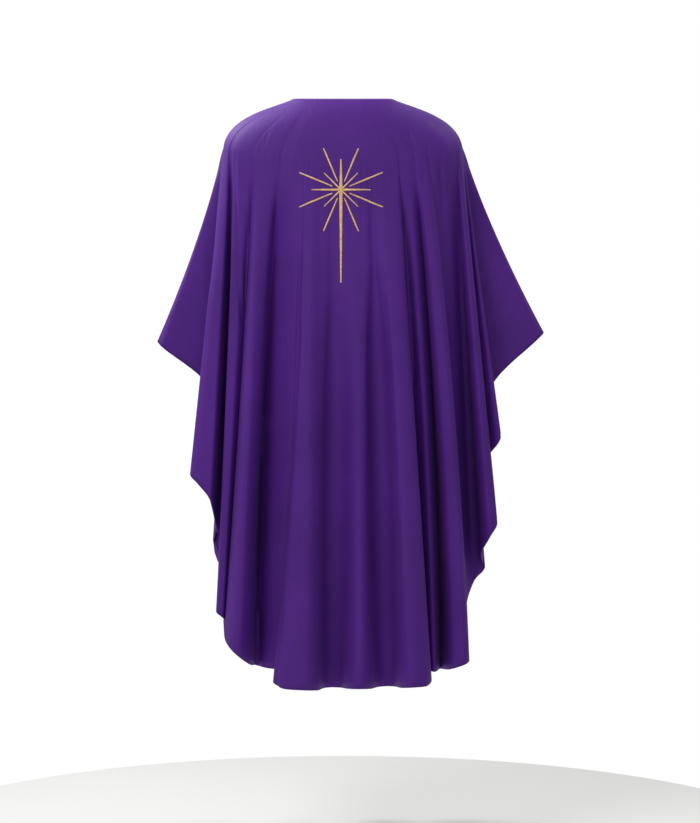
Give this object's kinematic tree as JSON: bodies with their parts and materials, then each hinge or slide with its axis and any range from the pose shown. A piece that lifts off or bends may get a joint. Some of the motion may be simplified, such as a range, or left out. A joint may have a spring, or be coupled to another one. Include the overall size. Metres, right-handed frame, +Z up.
{
  "type": "chasuble",
  "caption": "Full sleeveless vestment hanging in long folds from the shoulders, with a round neck opening, open sides, wide side points and an embroidered star-cross on back and front.",
  "frame": {"origin": "centre of the neck opening on the centre plane, 7 mm below the sides of the neck", "axes": "+X towards the wearer's right, +Y towards the wearer's front, +Z up; the embroidered back faces -Y"},
  "size_m": [0.8683, 0.5148, 1.2871],
  "materials": {
    "outer_cloth": "smooth matte woven polyester, violet",
    "facing_cloth": "the same cloth seen from its wrong side",
    "seam_tape": "narrow twill tape",
    "gold_thread": "metallic gold satin stitch",
    "stabiliser": "white nonwoven backing",
    "label_cloth": "blank woven label"
  },
  "bodies": {
    "root": {"back_embroidery_backing": "stabiliser", "back_neck_facing": "facing_cloth", "back_panel": "outer_cloth", "back_star_arm_left": "gold_thread", "back_star_arm_right": "gold_thread", "back_star_diagonal_lower_left": "gold_thread", "back_star_diagonal_lower_right": "gold_thread", "back_star_diagonal_upper_left": "gold_thread", "back_star_diagonal_upper_right": "gold_thread", "back_star_shallow_ray_lower_left": "gold_thread", "back_star_shallow_ray_lower_right": "gold_thread", "back_star_shallow_ray_upper_left": "gold_thread", "back_star_shallow_ray_upper_right": "gold_thread", "back_star_steep_ray_lower_left": "gold_thread", "back_star_steep_ray_lower_right": "gold_thread", "back_star_steep_ray_upper_left": "gold_thread", "back_star_steep_ray_upper_right": "gold_thread", "back_star_upright": "gold_thread", "back_turned_hem": "facing_cloth", "front_embroidery_backing": "stabiliser", "front_neck_facing": "facing_cloth", "front_panel": "outer_cloth", "front_star_arm_left": "gold_thread", "front_star_arm_right": "gold_thread", "front_star_diagonal_lower_left": "gold_thread", "front_star_diagonal_lower_right": "gold_thread", "front_star_diagonal_upper_left": "gold_thread", "front_star_diagonal_upper_right": "gold_thread", "front_star_shallow_ray_lower_left": "gold_thread", "front_star_shallow_ray_lower_right": "gold_thread", "front_star_shallow_ray_upper_left": "gold_thread", "front_star_shallow_ray_upper_right": "gold_thread", "front_star_steep_ray_lower_left": "gold_thread", "front_star_steep_ray_lower_right": "gold_thread", "front_star_steep_ray_upper_left": "gold_thread", "front_star_steep_ray_upper_right": "gold_thread", "front_star_upright": "gold_thread", "front_turned_hem": "facing_cloth", "neck_label": "label_cloth", "shoulder_seam_tape_left": "seam_tape", "shoulder_seam_tape_right": "seam_tape"}
  },
  "joints": []
}
